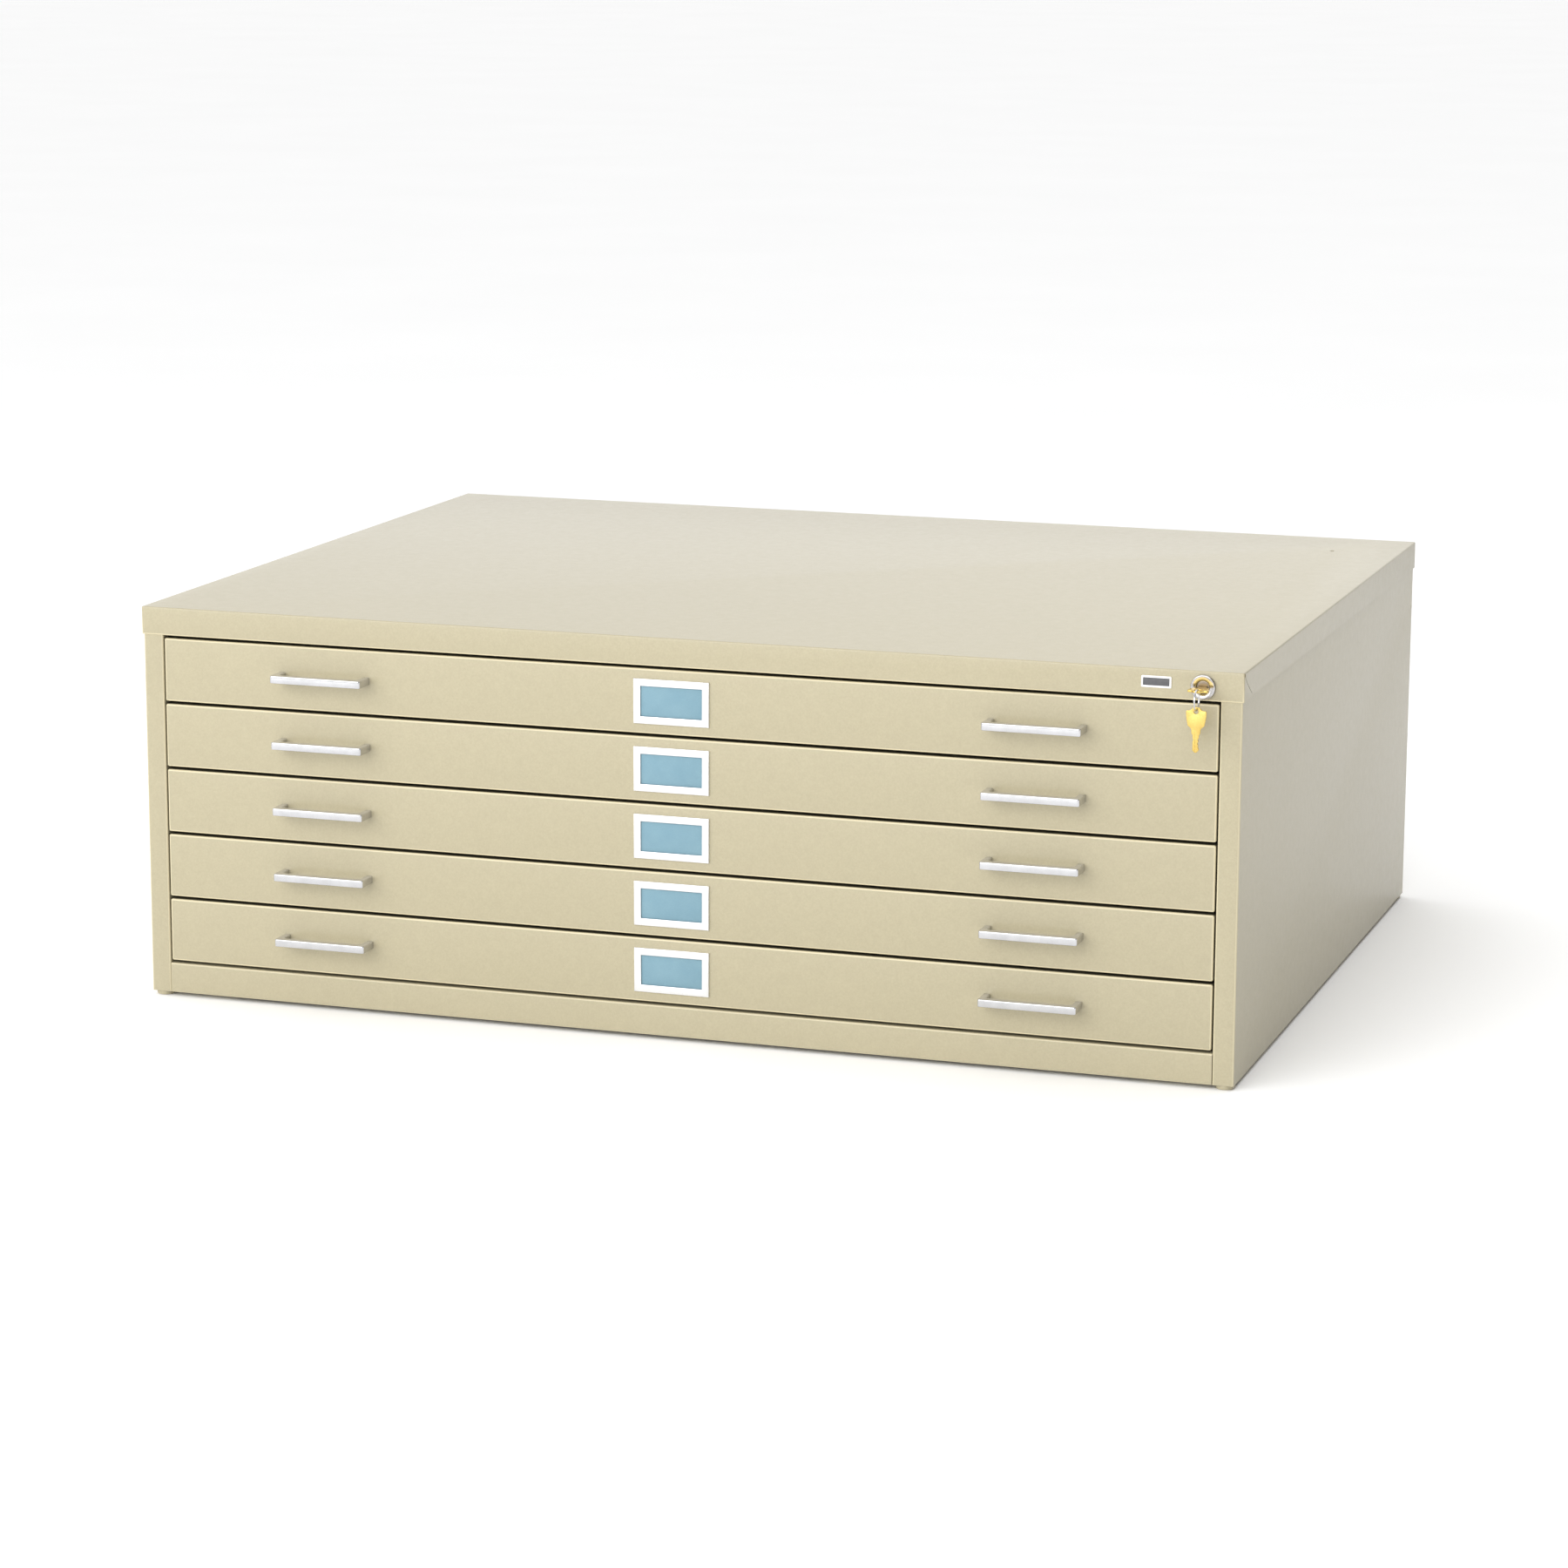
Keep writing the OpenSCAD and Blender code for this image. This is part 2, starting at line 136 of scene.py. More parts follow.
def thicken(o):
    """Gives a shell the thickness of the sheet, inwards."""
    sheet = o.modifiers.new("sheet", "SOLIDIFY")
    sheet.thickness, sheet.offset, sheet.use_even_offset = SHEET * MM, -1, True
    return apply_modifiers(o)


def cut(o, *cutters):
    """Subtracts the cutters, then removes them."""
    for cutter in cutters:
        boolean = o.modifiers.new("cut", "BOOLEAN")
        boolean.operation, boolean.solver, boolean.object = "DIFFERENCE", "EXACT", cutter
    apply_modifiers(o)
    for cutter in cutters:
        bpy.data.objects.remove(cutter)
    smooth(o.data, 35)
    return o


def join(name, *parts):
    """One object from several, which are removed."""
    bm = bmesh.new()
    for part in parts:
        bm.from_mesh(part.data)
    for part in parts:
        bpy.data.objects.remove(part)
    return link(bpy.data.objects.new(name, take_mesh(name, bm, 1)))


def bridge(bm, first, second):
    """A band of faces between two closed rows of as many vertices."""
    n = len(first)
    for i in range(n):
        j = (i + 1) % n
        bm.faces.new((first[i], first[j], second[j], second[i]))


# ---------------------------------------------------------------- outlines

def arc(cx, cy, r, start, end, n):
    """n + 1 points round cx, cy from the angle start to the angle end, in degrees."""
    angles = [math.radians(start + (end - start) * i / n) for i in range(n + 1)]
    return [(cx + r * math.cos(a), cy + r * math.sin(a)) for a in angles]


def hole_loop(cx, cy, r, n):
    """A circle run clockwise, as shrink wants a hole."""
    angles = [-math.tau * i / n for i in range(n)]
    return [(cx + r * math.cos(a), cy + r * math.sin(a)) for a in angles]


def round_rect(w, h, r, n=5, hole=False):
    """A rectangle with round corners, run counter-clockwise, or clockwise for a hole."""
    x, y = w / 2 - r, h / 2 - r
    corners = ((x, y, 0), (-x, y, 90), (-x, -y, 180), (x, -y, 270))
    points = [p for cx, cy, start in corners for p in arc(cx, cy, r, start, start + 90, n)]
    return points[::-1] if hole else points


def both_sides(left, right):
    """A counter-clockwise outline. Both halves are given as right halves, from the top down."""
    return [(-x, y) for x, y in left] + right[::-1]


def shrink(loop, d):
    """The loop moved d to its left: an outline inwards, and a hole, which runs clockwise, outwards."""
    moved, n = [], len(loop)
    for i in range(n):
        before, here, after = Vector(loop[i - 1]), Vector(loop[i]), Vector(loop[(i + 1) % n])
        u, v = (here - before).normalized(), (after - here).normalized()
        left_u, left_v = Vector((-u.y, u.x)), Vector((-v.y, v.x))
        mitre = left_u + left_v
        mitre = mitre.normalized() if mitre.length > 1e-6 else left_u
        moved.append(tuple(here + mitre * (d / max(0.5, mitre.dot(left_u)))))
    return moved


# ---------------------------------------------------------------- solids

def flat_piece(name, loops, z0, z1, edge, place, steps=3):
    """A plate cut to loops, from z0 to z1, with its edges rounded by edge, then put in place."""
    bm = bmesh.new()
    quarter = [math.pi / 2 * i / steps for i in range(steps, -1, -1)]
    layers = [(z0 + edge * (1 - math.sin(a)), edge * (1 - math.cos(a))) for a in quarter]
    layers += [(z0 + z1 - z, inset) for z, inset in layers[::-1]]
    first, last = [], []
    for loop in loops:
        rows = [[bm.verts.new((x, y, z)) for x, y in shrink(loop, inset)] for z, inset in layers]
        for row, following in zip(rows, rows[1:]):
            bridge(bm, row, following)
        first.append(rows[0])
        last.append(rows[-1])
    for rows in (first, last):
        pairs = [(row[i], row[(i + 1) % len(row)]) for row in rows for i in range(len(row))]
        edges = [bm.edges.get(pair) for pair in pairs]
        bmesh.ops.triangle_fill(bm, use_beauty=True, use_dissolve=False, edges=edges)
    bm.transform(place)
    return solid(name, bm, 40)


def left_of(start, end):
    along = (end - start).normalized()
    return Vector((-along.y, along.x))


def folded(name, line, r, t, lo, hi, axis):
    """A folded sheet of thickness t, swept along axis, X or Z, from lo to hi.

    The sheet lies to the left of line, and its folds have the outer radius r.
    """
    steps, fold_highlight = 5, 0.6                      # the second is the strength of the painted highlight on a fold
    # wear holds the strength of the painted highlight at each point of the outline
    outer, inner, wear = [], [], []
    line = [Vector(p) for p in line]
    last = len(line) - 1
    for i, p in enumerate(line):
        if i in (0, last):
            left = left_of(line[0], line[1]) if i == 0 else left_of(line[-2], line[-1])
            outer.append(p)
            inner.append(p + left * t)
            wear.append(0.0)
            continue
        left_in, left_out = left_of(line[i - 1], p), left_of(p, line[i + 1])
        centre = p + (left_in + left_out) * (r / (1 + left_in.dot(left_out)))
        for k in range(steps + 1):
            away = (-left_in).lerp(-left_out, k / steps).normalized()
            outer.append(centre + away * r)
            inner.append(centre + away * (r - t))
            wear.append(fold_highlight if 0 < k < steps else 0.0)
    outline = outer + inner[::-1]
    bm = bmesh.new()
    layer = bm.verts.layers.float.new("fold")

    def end_cap(s):
        along_x = axis == "X"
        return [bm.verts.new((s, p.x, p.y) if along_x else (p.x, p.y, s)) for p in outline]

    caps = end_cap(lo), end_cap(hi)
    for cap in caps:
        for v, amount in zip(cap, wear):
            v[layer] = amount
    bridge(bm, *caps)
    for cap in caps:
        for i in range(len(outer) - 1):
            bm.faces.new((cap[i], cap[i + 1], cap[-2 - i], cap[-1 - i]))
    return solid(name, bm, 25)


def mark_folds(bm, on_fold, behind):
    """Writes two vertex layers: fold, a painted highlight on rounded edges, and return, painted shade on what
    is behind.
    """
    fold, back = bm.verts.layers.float.new("fold"), bm.verts.layers.float.new("return")
    for v in bm.verts:
        flat = any(max(abs(c) for c in f.normal) > 0.9999 for f in v.link_faces)
        v[fold] = 1.0 if on_fold(v) and not flat else 0.0
        v[back] = 1.0 if behind(v) else 0.0


def box_bm(lo, hi):
    bm = bmesh.new()
    bmesh.ops.create_cube(bm, size=1)
    lo, size = Vector(lo), Vector(hi) - Vector(lo)
    for v in bm.verts:
        v.co = lo + Vector([(c + 0.5) * s for c, s in zip(v.co, size)])
    return bm


def soft_box(name, lo, hi, r=0.25):
    """A box with its edges rounded by r."""
    bm = box_bm(lo, hi)
    bmesh.ops.bevel(bm, geom=bm.edges[:], offset=r, segments=2, profile=0.5, affect="EDGES")
    return solid(name, bm, 50)


def cylinder(name, p, r, lo, hi, axis, n=48):
    """A cylinder along axis from lo to hi. p is its centre in the other two coordinates."""
    bm = bmesh.new()
    bmesh.ops.create_cone(bm, cap_ends=True, segments=n, radius1=r, radius2=r, depth=hi - lo)
    bm.transform(Matrix.Translation((0, 0, (lo + hi) / 2)))
    if axis == "Y":
        bm.transform(Matrix.Rotation(math.radians(-90), 4, "X"))
        bm.transform(Matrix.Translation((p[0], 0, p[1])))
    elif axis == "X":
        bm.transform(Matrix.Rotation(math.radians(90), 4, "Y"))
        bm.transform(Matrix.Translation((0, p[0], p[1])))
    else:
        bm.transform(Matrix.Translation((p[0], p[1], 0)))
    return solid(name, bm)


def lathe_y(name, profile, x, z, n):
    """A closed profile of (radius, y) turned about the line along Y through x, z."""
    bm = bmesh.new()
    rings = []
    for i in range(n):
        a = math.tau * i / n
        rings.append([bm.verts.new((x + r * math.cos(a), y, z + r * math.sin(a))) for r, y in profile])
    for i in range(n):
        bridge(bm, rings[i], rings[(i + 1) % n])
    return solid(name, bm, 40)


# ---------------------------------------------------------------- material helpers

def new_material(name):
    """The material, its node tree, its shader and its texture coordinates, which are in metres."""
    material = bpy.data.materials.new(name)
    material.use_nodes = True
    tree = material.node_tree
    coords = tree.nodes.new("ShaderNodeTexCoord").outputs["Object"]
    return material, tree, tree.nodes["Principled BSDF"], coords


def noise(tree, coords, scale, detail=2.0, rough=0.5, distortion=0.0):
    """Noise with about scale spots to the metre."""
    node = tree.nodes.new("ShaderNodeTexNoise")
    node.inputs["Scale"].default_value = scale
    node.inputs["Detail"].default_value = detail
    node.inputs["Roughness"].default_value = rough
    node.inputs["Distortion"].default_value = distortion
    tree.links.new(coords, node.inputs["Vector"])
    return node.outputs["Fac"]


def stretch(tree, coords, factors):
    node = tree.nodes.new("ShaderNodeMapping")
    node.inputs["Scale"].default_value = factors
    tree.links.new(coords, node.inputs["Vector"])
    return node.outputs["Vector"]


def ramp(tree, fac, stops):
    """stops are (position, colour) pairs. A single number stands for a grey."""
    node = tree.nodes.new("ShaderNodeValToRGB")
    elements = node.color_ramp.elements
    while len(elements) < len(stops):
        elements.new(0.5)
    for element, (position, c) in zip(elements, stops):
        element.position = position
        element.color = (c, c, c, 1) if isinstance(c, (int, float)) else (*c, 1)
    tree.links.new(fac, node.inputs["Fac"])
    return node.outputs["Color"]


def mix(tree, fac, a, b, mode="MIX"):
    """Mixes two colours. a and b are sockets or colours, and fac is a socket or a number."""
    node = tree.nodes.new("ShaderNodeMix")
    node.data_type, node.blend_type = "RGBA", mode
    # a mix node has a set of sockets for each kind of data: these are its factor and its two colours
    for socket, value in ((node.inputs[0], fac), (node.inputs[6], a), (node.inputs[7], b)):
        if isinstance(value, (int, float)):
            socket.default_value = value
        elif isinstance(value, tuple):
            socket.default_value = (*value, 1)
        else:
            tree.links.new(value, socket)
    return node.outputs[2]


def bump(tree, shader, *layers):
    """layers are (height, strength, distance in metres)."""
    normal = None
    for height, strength, distance in layers:
        node = tree.nodes.new("ShaderNodeBump")
        node.inputs["Strength"].default_value = strength
        node.inputs["Distance"].default_value = distance
        tree.links.new(height, node.inputs["Height"])
        if normal:
            tree.links.new(normal, node.inputs["Normal"])
        normal = node.outputs["Normal"]
    tree.links.new(normal, shader.inputs["Normal"])


def shade(colour, factor):
    return tuple(min(1, c * factor) for c in colour)


def vary(tree, fac, socket, low, high, span=(0.3, 0.7)):
    """Drives a shader's socket from low to high while fac runs over span."""
    tree.links.new(ramp(tree, fac, [(span[0], low), (span[1], high)]), socket)


# ---------------------------------------------------------------- materials

def paint(name, colour, rough=0.35, coat=0.25):
    """Baked enamel on steel with faint orange peel, a painted highlight on rounded folds and painted shade in
    the returns.
    """
    material, tree, shader, coords = new_material(name)
    darker, paler = shade(colour, 0.992), shade(colour, 1.008)
    broad = ramp(tree, noise(tree, coords, 2.3, 3), [(0.3, darker), (0.7, paler)])
    fine = ramp(tree, noise(tree, coords, 620, 2), [(0.35, 0.935), (0.65, 1.0)])
    grit = ramp(tree, noise(tree, coords, 95, 5, 0.7), [(0.42, 0.98), (0.6, 1.0)])
    c = mix(tree, 1.0, mix(tree, 1.0, broad, fine, "MULTIPLY"), grit, "MULTIPLY")
    # fold paints a paler highlight on rounded folds; return paints shade in the returns behind the front
    for layer, tone in (("fold", shade(colour, 1.5)), ("return", shade(colour, 0.28))):
        attribute = tree.nodes.new("ShaderNodeAttribute")
        attribute.attribute_name = layer
        c = mix(tree, attribute.outputs["Fac"], c, tone)
    tree.links.new(c, shader.inputs["Base Color"])
    vary(tree, noise(tree, coords, 130, 4, 0.6), shader.inputs["Roughness"], rough - 0.03, rough + 0.03)
    shader.inputs["IOR"].default_value = 1.5
    shader.inputs["Coat Weight"].default_value = coat
    shader.inputs["Coat Roughness"].default_value = 0.24
    bump(tree, shader, (noise(tree, coords, 410, 1.5), 0.14, 0.00012))
    return material


def metal(name, colour, dull, rough, spread, scratch, along):
    """Plated or rolled metal with fine wear lines along one way, uneven gloss and duller spots."""
    material, tree, shader, coords = new_material(name)
    shader.inputs["Metallic"].default_value = 1.0
    vary(tree, noise(tree, coords, 55, 4, 0.6), shader.inputs["Base Color"], dull, colour, (0.3, 0.65))
    lines = noise(tree, stretch(tree, coords, along), 900, 3, 0.6)
    cloud = noise(tree, coords, 140, 3)
    gloss = [(0.3, rough - spread), (0.7, rough + spread)]
    roughness = mix(tree, 0.5, ramp(tree, lines, gloss), ramp(tree, cloud, gloss))
    tree.links.new(roughness, shader.inputs["Roughness"])
    bump(tree, shader, (lines, scratch, 0.00003), (cloud, scratch, 0.00006))
    return material


def zinc_plate(name):
    """Zinc with a faint spangle."""
    material, tree, shader, coords = new_material(name)
    shader.inputs["Metallic"].default_value = 0.95
    cells = tree.nodes.new("ShaderNodeTexVoronoi")
    cells.inputs["Scale"].default_value = 130
    tree.links.new(coords, cells.inputs["Vector"])
    dark, pale = (0.52, 0.54, 0.56), (0.66, 0.67, 0.68)
    vary(tree, cells.outputs["Color"], shader.inputs["Base Color"], dark, pale, (0.2, 0.8))
    vary(tree, noise(tree, coords, 60, 4), shader.inputs["Roughness"], 0.36, 0.52)
    bump(tree, shader, (noise(tree, coords, 320, 3), 0.2, 0.00008))
    return material


def nylon(name):
    material, tree, shader, coords = new_material(name)
    dark, pale = (0.74, 0.72, 0.65), (0.82, 0.81, 0.75)
    vary(tree, noise(tree, coords, 40, 4), shader.inputs["Base Color"], dark, pale)
    vary(tree, noise(tree, coords, 300, 3), shader.inputs["Roughness"], 0.42, 0.6)
    shader.inputs["Subsurface Weight"].default_value = 0.15
    shader.inputs["Subsurface Radius"].default_value = (0.002, 0.002, 0.0015)    # metres
    bump(tree, shader, (noise(tree, coords, 700, 2), 0.2, 0.00005))
    return material


def card(name):
    """Pale blue card: short fibres, slightly uneven dye."""
    material, tree, shader, coords = new_material(name)
    fibre = noise(tree, stretch(tree, coords, (1, 1, 3.5)), 620, 5, 0.75, 0.6)
    dark, pale = (0.185, 0.315, 0.385), (0.208, 0.341, 0.408)
    dye = ramp(tree, noise(tree, coords, 55, 3), [(0.3, dark), (0.7, pale)])
    c = mix(tree, 1.0, dye, ramp(tree, fibre, [(0.3, 0.87), (0.7, 1.0)]), "MULTIPLY")
    tree.links.new(c, shader.inputs["Base Color"])
    vary(tree, fibre, shader.inputs["Roughness"], 0.82, 0.95)
    shader.inputs["Specular IOR Level"].default_value = 0.3
    bump(tree, shader, (fibre, 0.3, 0.00004))
    return material


def enamel(name, low, high, rough):
    """Fired enamel on the badge, between two close tones."""
    material, tree, shader, coords = new_material(name)
    vary(tree, noise(tree, coords, 210, 4), shader.inputs["Base Color"], low, high)
    vary(tree, noise(tree, coords, 500, 3), shader.inputs["Roughness"], rough - 0.05, rough + 0.08)
    bump(tree, shader, (noise(tree, coords, 900, 2), 0.12, 0.00004))
    return material


TAN = (0.405, 0.360, 0.238)
ALONG_X, ALONG_Y, ALONG_Z = (1, 6, 6), (6, 1, 6), (6, 6, 1)    # the way that wear lines run

PAINT = paint("tan_enamel", TAN)
INNER = paint("tan_enamel_inside", shade(TAN, 0.97), 0.42, 0.1)
CHROME = metal("bright_chrome", (0.62, 0.62, 0.635), (0.54, 0.54, 0.55), 0.13, 0.05, 0.08, ALONG_X)
SATIN = metal("satin_plate", (0.83, 0.83, 0.835), (0.77, 0.77, 0.775), 0.30, 0.06, 0.1, ALONG_X)
BRASS = metal("key_brass", (0.74, 0.55, 0.17), (0.60, 0.42, 0.115), 0.27, 0.07, 0.25, ALONG_Z)
NICKEL = metal("lock_nickel", (0.50, 0.49, 0.49), (0.40, 0.39, 0.385), 0.2, 0.06, 0.12, ALONG_Y)
# nickel darkened to brown for the lock plug: painted shade for the recess inside the collar
PLUG_PAINTED_SHADE = metal("plug_nickel_painted_shade", (0.24, 0.20, 0.155), (0.14, 0.115, 0.085), 0.36, 0.08, 0.3, ALONG_Y)
STEEL = metal("rolled_steel", (0.50, 0.50, 0.51), (0.40, 0.40, 0.41), 0.38, 0.08, 0.3, (1, 1, 8))
ZINC = zinc_plate("zinc_plated")
NYLON = nylon("nylon_roller")
CARD = card("blue_card")
WHITE = enamel("badge_white", (0.84, 0.84, 0.84), (0.90, 0.90, 0.90), 0.3)
GREY = enamel("badge_panel_grey", (0.075, 0.075, 0.08), (0.09, 0.09, 0.095), 0.4)

BY_SLOT = {"cabinet_paint": PAINT, "zinc": ZINC, "bright_chrome": CHROME, "key_brass": BRASS,
           "lock_steel": STEEL, "nylon": NYLON, "label_card": CARD, "badge_plate": WHITE}


def dress(o, material):
    """Paints a CAD node and rounds its edges a little."""
    round_by, sharp = 0.3, 40
    o.data.materials.clear()
    o.data.materials.append(material)
    weld = o.modifiers.new("weld", "WELD")
    weld.merge_threshold = 0.01 * MM
    edge = o.modifiers.new("edge", "BEVEL")
    edge.width, edge.segments = round_by * MM, 2
    edge.limit_method, edge.angle_limit = "ANGLE", math.radians(sharp)
    smooth(o.data, sharp)


for row in frame["record"]["subparts"]:
    node, material = row["node"], BY_SLOT[row["material_slot"]]
    if node.endswith(("_tray", "_hood", "_depressor")):
        material = INNER
    # the plug gets the darkened metal that stands in for the shade in the collar's recess
    if node == "lock_plug":
        material = PLUG_PAINTED_SHADE
    dress(frame["nodes"][node], material)


# ---------------------------------------------------------------- case

def near(value, target, tolerance=0.01):
    return abs(value - target) < tolerance


def cap_shell():
    """The cap without its holes: an open box with a lip turned in under its front fold."""
    low = cap_hi.z - HEADER
    bm = box_bm((cap_lo.x, cap_lo.y, low), (cap_hi.x, cap_hi.y, cap_hi.z))

    def is_folded(e):
        a, b = e.verts[0].co, e.verts[1].co
        top = near(a.z, cap_hi.z) and near(b.z, cap_hi.z)
        upright = abs(a.z - b.z) > 1
        low_front = all(near(p.y, FACE) and near(p.z, low) for p in (a, b))
        return top or upright or low_front

    folds = [e for e in bm.edges if is_folded(e)]
    bmesh.ops.bevel(bm, geom=folds, offset=CAP_BEND, segments=5, profile=0.5, affect="EDGES")
    # only the rounded edges near the bottom edge get the painted highlight
    highlight_height = 1.8
    mark_folds(bm, lambda v: v.co.z < low + highlight_height, lambda v: False)
    bottom = [f for f in bm.faces if f.normal.z < -0.99 and near(f.calc_center_median().z, low, 0.05)]
    bmesh.ops.delete(bm, geom=bottom, context="FACES")

    # the lip runs between the posts, so the front edge is divided there
    lip_end, lip_depth = HALF_OPEN - PLAY, 12
    for x in (-lip_end, lip_end):
        everything = bm.verts[:] + bm.edges[:] + bm.faces[:]
        bmesh.ops.bisect_plane(bm, geom=everything, plane_co=(x, 0, 0), plane_no=(1, 0, 0))

    def is_lip(e):
        a, b = e.verts[0].co, e.verts[1].co
        at_front = all(near(p.z, low, 0.05) and p.y < FACE + 2.5 for p in (a, b))
        between_posts = abs((a.x + b.x) / 2) < HALF_OPEN - 0.5
        return e.is_boundary and at_front and between_posts and e.calc_length() > 100

    new = bmesh.ops.extrude_edge_only(bm, edges=[e for e in bm.edges if is_lip(e)])["geom"]
    for v in new:
        if isinstance(v, bmesh.types.BMVert):
            v.co.y = FACE + lip_depth
    bmesh.ops.remove_doubles(bm, verts=bm.verts, dist=0.001)
    bmesh.ops.recalc_face_normals(bm, faces=bm.faces)
    return thicken(link(bpy.data.objects.new("cap_shell", take_mesh("cap", bm))))


def corner_slit(s):
    """Cutters for the curved slit in a side fold at a front corner, and for the hole that it starts from."""
    y0, z0, y1, z1 = FACE + 2.4, cap_hi.z - 2.6, FACE + 34, cap_hi.z - 25
    half_width, relief, steps, bow = 0.7, 1.7, 8, 1.25
    xa, xb = s * (cap_hi.x - 3), s * (cap_hi.x + 2)
    section = ((xa, -half_width), (xa, half_width), (xb, half_width), (xb, -half_width))
    bm = bmesh.new()
    rows = []
    for i in range(steps + 1):
        t = i / steps
        y, z = y0 + (y1 - y0) * t ** bow, z0 + (z1 - z0) * t
        rows.append([bm.verts.new((x, y + dy, z)) for x, dy in section])
    for row, following in zip(rows, rows[1:]):
        bridge(bm, row, following)
    bm.faces.new(rows[0])
    bm.faces.new(rows[-1])
    return [solid("slit", bm), cylinder("relief", (y0, z0), relief, min(xa, xb), max(xa, xb), "X", 20)]


def make_cap():
    lock_hole = cylinder("lock_hole", (LOCK_X, LOCK_Z), 9.7, FACE - 3, FACE + 4, "Y")
    top_hole = cylinder("top_hole", (BOLT_X, MID_Y + BOLT_Y), 2.5, cap_hi.z - 4, cap_hi.z + 3, "Z")
    o = cut(cap_shell(), lock_hole, top_hole, *corner_slit(-1), *corner_slit(1))
    put(o, "case", PAINT, "cabinet_paint", "top_cap").name = "top_cap_shell"


def bar_guides(x_wall):
    """Two pairs of tabs on the right wall, in front of the lock bar and behind it."""
    bar_lo, bar_hi = mm_box("lock_bar")
    reach, thick, tall = 1.8, 1.3, 14
    upper, lower = 236.5, 26.5
    y0, y1 = bar_lo.y - reach, bar_hi.y + reach
    guides = []
    for z in (upper, lower):
        for near_y, far_y in ((y0, y0 + thick), (y1 - thick, y1)):
            guides.append(soft_box("guide", (bar_hi.x - 3, near_y, z), (x_wall, far_y, z + tall)))
    return guides


def make_side(side):
    """A side panel with its post, flanges and holes. The left one is mirrored and has no bar guides."""
    x0, x1 = HALF_OPEN, side_hi.x
    post_depth, base_width, bolt_radius = 14.5, 95, 4.5
    line = [(x0, FRONT + post_depth), (x0, FRONT), (x1, FRONT), (x1, BACK), (x0, BACK)]
    wall = folded("wall", line, SIDE_BEND, SHEET, side_lo.z, side_hi.z, "Z")
    wall_hole = cylinder("hole", (BACK - 4.5, cap_hi.z - 75), 2, x1 - 4, x1 + 2, "X", 24)
    inner, back = x1 - SHEET + 0.2, BACK - 1.6
    top = soft_box("top", (x0 + 0.3, FRONT + 1.6, side_hi.z - SHEET), (inner, back, side_hi.z))
    base = soft_box("base", (x1 - base_width, FRONT + 2.2, side_lo.z), (inner, back, side_lo.z + SHEET))
    bolts = [cylinder("bolt", (BOLT_X, MID_Y + s * BOLT_Y), bolt_radius, 0, 12, "Z") for s in (-1, 1)]
    parts = [cut(wall, wall_hole), top, cut(base, *bolts)]
    if side == "right":
        parts += bar_guides(x1 - SHEET + 0.1)
    o = join(side + "_side_shell", *parts)
    if side == "left":
        o.data.transform(Matrix.Scale(-1, 4, (1, 0, 0)))
        o.data.flip_normals()
    put(o, "case", PAINT, "cabinet_paint", side + "_side")


def make_rail():
    """The rail under the bottom drawer: a folded face with a shelf behind it."""
    half, depth = HALF_OPEN - PLAY, 13
    line = [(FRONT + depth, rail_hi.z), (FRONT, rail_hi.z), (FRONT, rail_lo.z)]
    face = folded("face", line, SIDE_BEND, SHEET, -half, half, "X")
    low, high = rail_lo.z + SHEET, rail_lo.z + 2 * SHEET
    shelf = soft_box("shelf", (-half, FRONT + SHEET - 0.1, low), (half, FRONT + depth, high))
    put(join("bottom_rail_shell", face, shelf), "case", PAINT, "cabinet_paint", "bottom_rail")


def make_collar():
    """The lock's collar: a dished face with a rolled rim, on a barrel that goes through the cap."""
    bore, barrel, rim = 6.5, 9.5, 12.4
    roll_in, roll_out, roll_at = 0.8, 1.6, -1.9
    # (radius, distance behind the cap's face)
    profile = [(bore, 17.9), (barrel, 17.9), (barrel, 0.05), (rim - 0.4, 0.05), (rim, -0.25), (rim, -1.6)]
    for i in range(1, 7):
        a = math.pi / 2 * i / 6
        profile.append((11.6 + roll_in * math.cos(a), roll_at - roll_out * math.sin(a)))
    profile += [(10.6, -3.55), (8.6, -3.1), (7.4, -2.75), (6.9, -2.5), (6.55, -1.9), (bore, -1.2)]
    collar = lathe_y("lock_collar", [(r, FACE + y) for r, y in profile], LOCK_X, LOCK_Z, 96)
    put(collar, "case", NICKEL, "bright_chrome", "lock_housing")


def make_badge():
    """A white frame round a plain dark panel."""
    lo, hi = mm_box("badge")
    w, h = hi.x - lo.x, hi.z - lo.z
    at = middle(lo, hi)
    upright = Matrix.Translation((at.x, FACE, at.z)) @ Matrix.Rotation(math.radians(90), 4, "X")
    window = round_rect(w - 2 * 1.7, h - 2 * 1.9, 0.4, 3, hole=True)
    panel = round_rect(w - 2 * 1.3, h - 2 * 1.5, 0.4, 3)
    border = flat_piece("badge_frame", [round_rect(w, h, 1.2), window], 0, 1.0, 0.22, upright)
    put(border, "case", WHITE, "badge_plate", "badge")
    put(flat_piece("badge_blank_panel", [panel], 0.02, 0.55, 0.12, upright), "case", GREY, "badge_plate")


make_cap()
make_side("right")
make_side("left")
make_rail()
make_collar()
make_badge()


# ---------------------------------------------------------------- drawers

